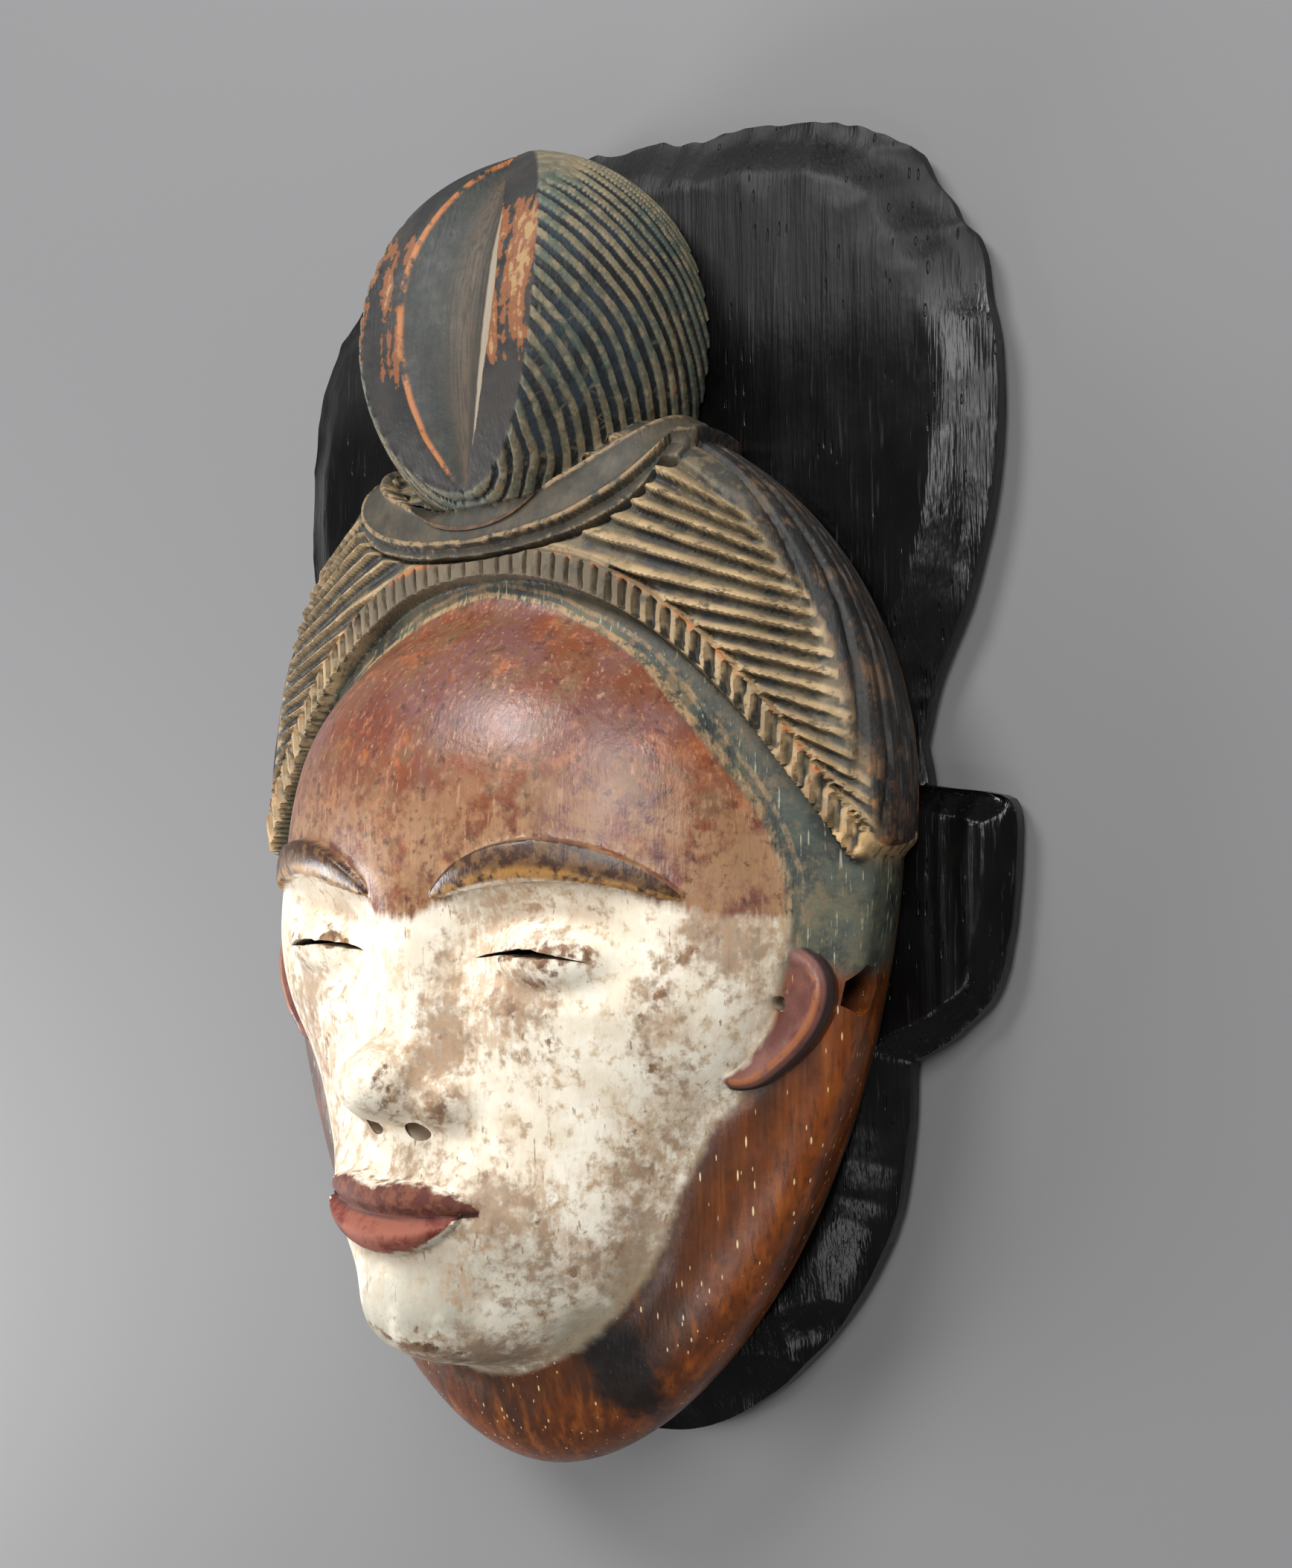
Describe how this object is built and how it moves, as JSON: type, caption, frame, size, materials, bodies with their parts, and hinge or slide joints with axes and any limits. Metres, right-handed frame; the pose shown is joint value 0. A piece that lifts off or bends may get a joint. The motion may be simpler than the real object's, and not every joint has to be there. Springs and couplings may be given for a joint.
{
  "type": "carved mask",
  "caption": "Carved wooden face mask, hollow behind, with a high fluted bun, fanned hair and pierced ears, lying on a black wooden back board.",
  "frame": {"origin": "middle of the back board's flat back, below the mask's face", "axes": "+Z out of the face, +Y towards the bun, +X to the right of someone who looks at the face"},
  "size_m": [0.2083, 0.2988, 0.084],
  "materials": {
    "carved_wood": "worn paint, varnish and bare wood",
    "black_wood": "waxed black"
  },
  "bodies": {
    "root": {"mask": "carved_wood", "backing_board": "black_wood"}
  },
  "joints": []
}
